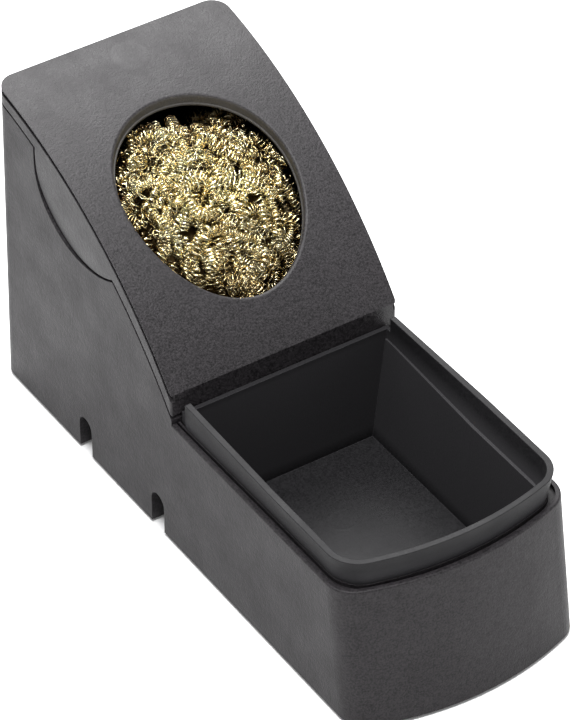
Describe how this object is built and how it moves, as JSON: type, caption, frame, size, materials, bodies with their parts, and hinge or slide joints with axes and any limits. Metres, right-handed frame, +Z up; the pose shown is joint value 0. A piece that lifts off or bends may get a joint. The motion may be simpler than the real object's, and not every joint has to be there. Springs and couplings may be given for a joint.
{
  "type": "soldering tip cleaner",
  "caption": "Dry tip cleaner for a soldering iron: sloped lift-off hood with a round opening over brass wool, lift-out residue tray in front.",
  "frame": {"origin": "middle of the footprint on the table, at the bottom of the rubber feet", "axes": "+Z up, -Y towards the residue tray and the user, +X to the user's right"},
  "size_m": [0.06, 0.1544, 0.0853],
  "materials": {
    "housing_plastic": "fine spark-eroded grain",
    "tray_plastic": "smoother moulded plastic",
    "brass_wool": "curled bright turnings",
    "foot_rubber": "soft matt"
  },
  "bodies": {
    "base": {"base_housing": "housing_plastic", "brass_wool_upper": "brass_wool", "brass_wool_lower": "brass_wool", "foot_front_left": "foot_rubber", "foot_front_right": "foot_rubber", "foot_rear_left": "foot_rubber", "foot_rear_right": "foot_rubber"},
    "cover": {"hood": "housing_plastic"},
    "tray": {"residue_tray": "tray_plastic"}
  },
  "joints": [
    {"name": "hood_lift", "type": "slide", "parent": "base", "child": "cover", "axis": [0, 0, 1], "range_m": [0, 0.09]},
    {"name": "tray_lift", "type": "slide", "parent": "base", "child": "tray", "axis": [0, 0, 1], "range_m": [0, 0.06]}
  ]
}
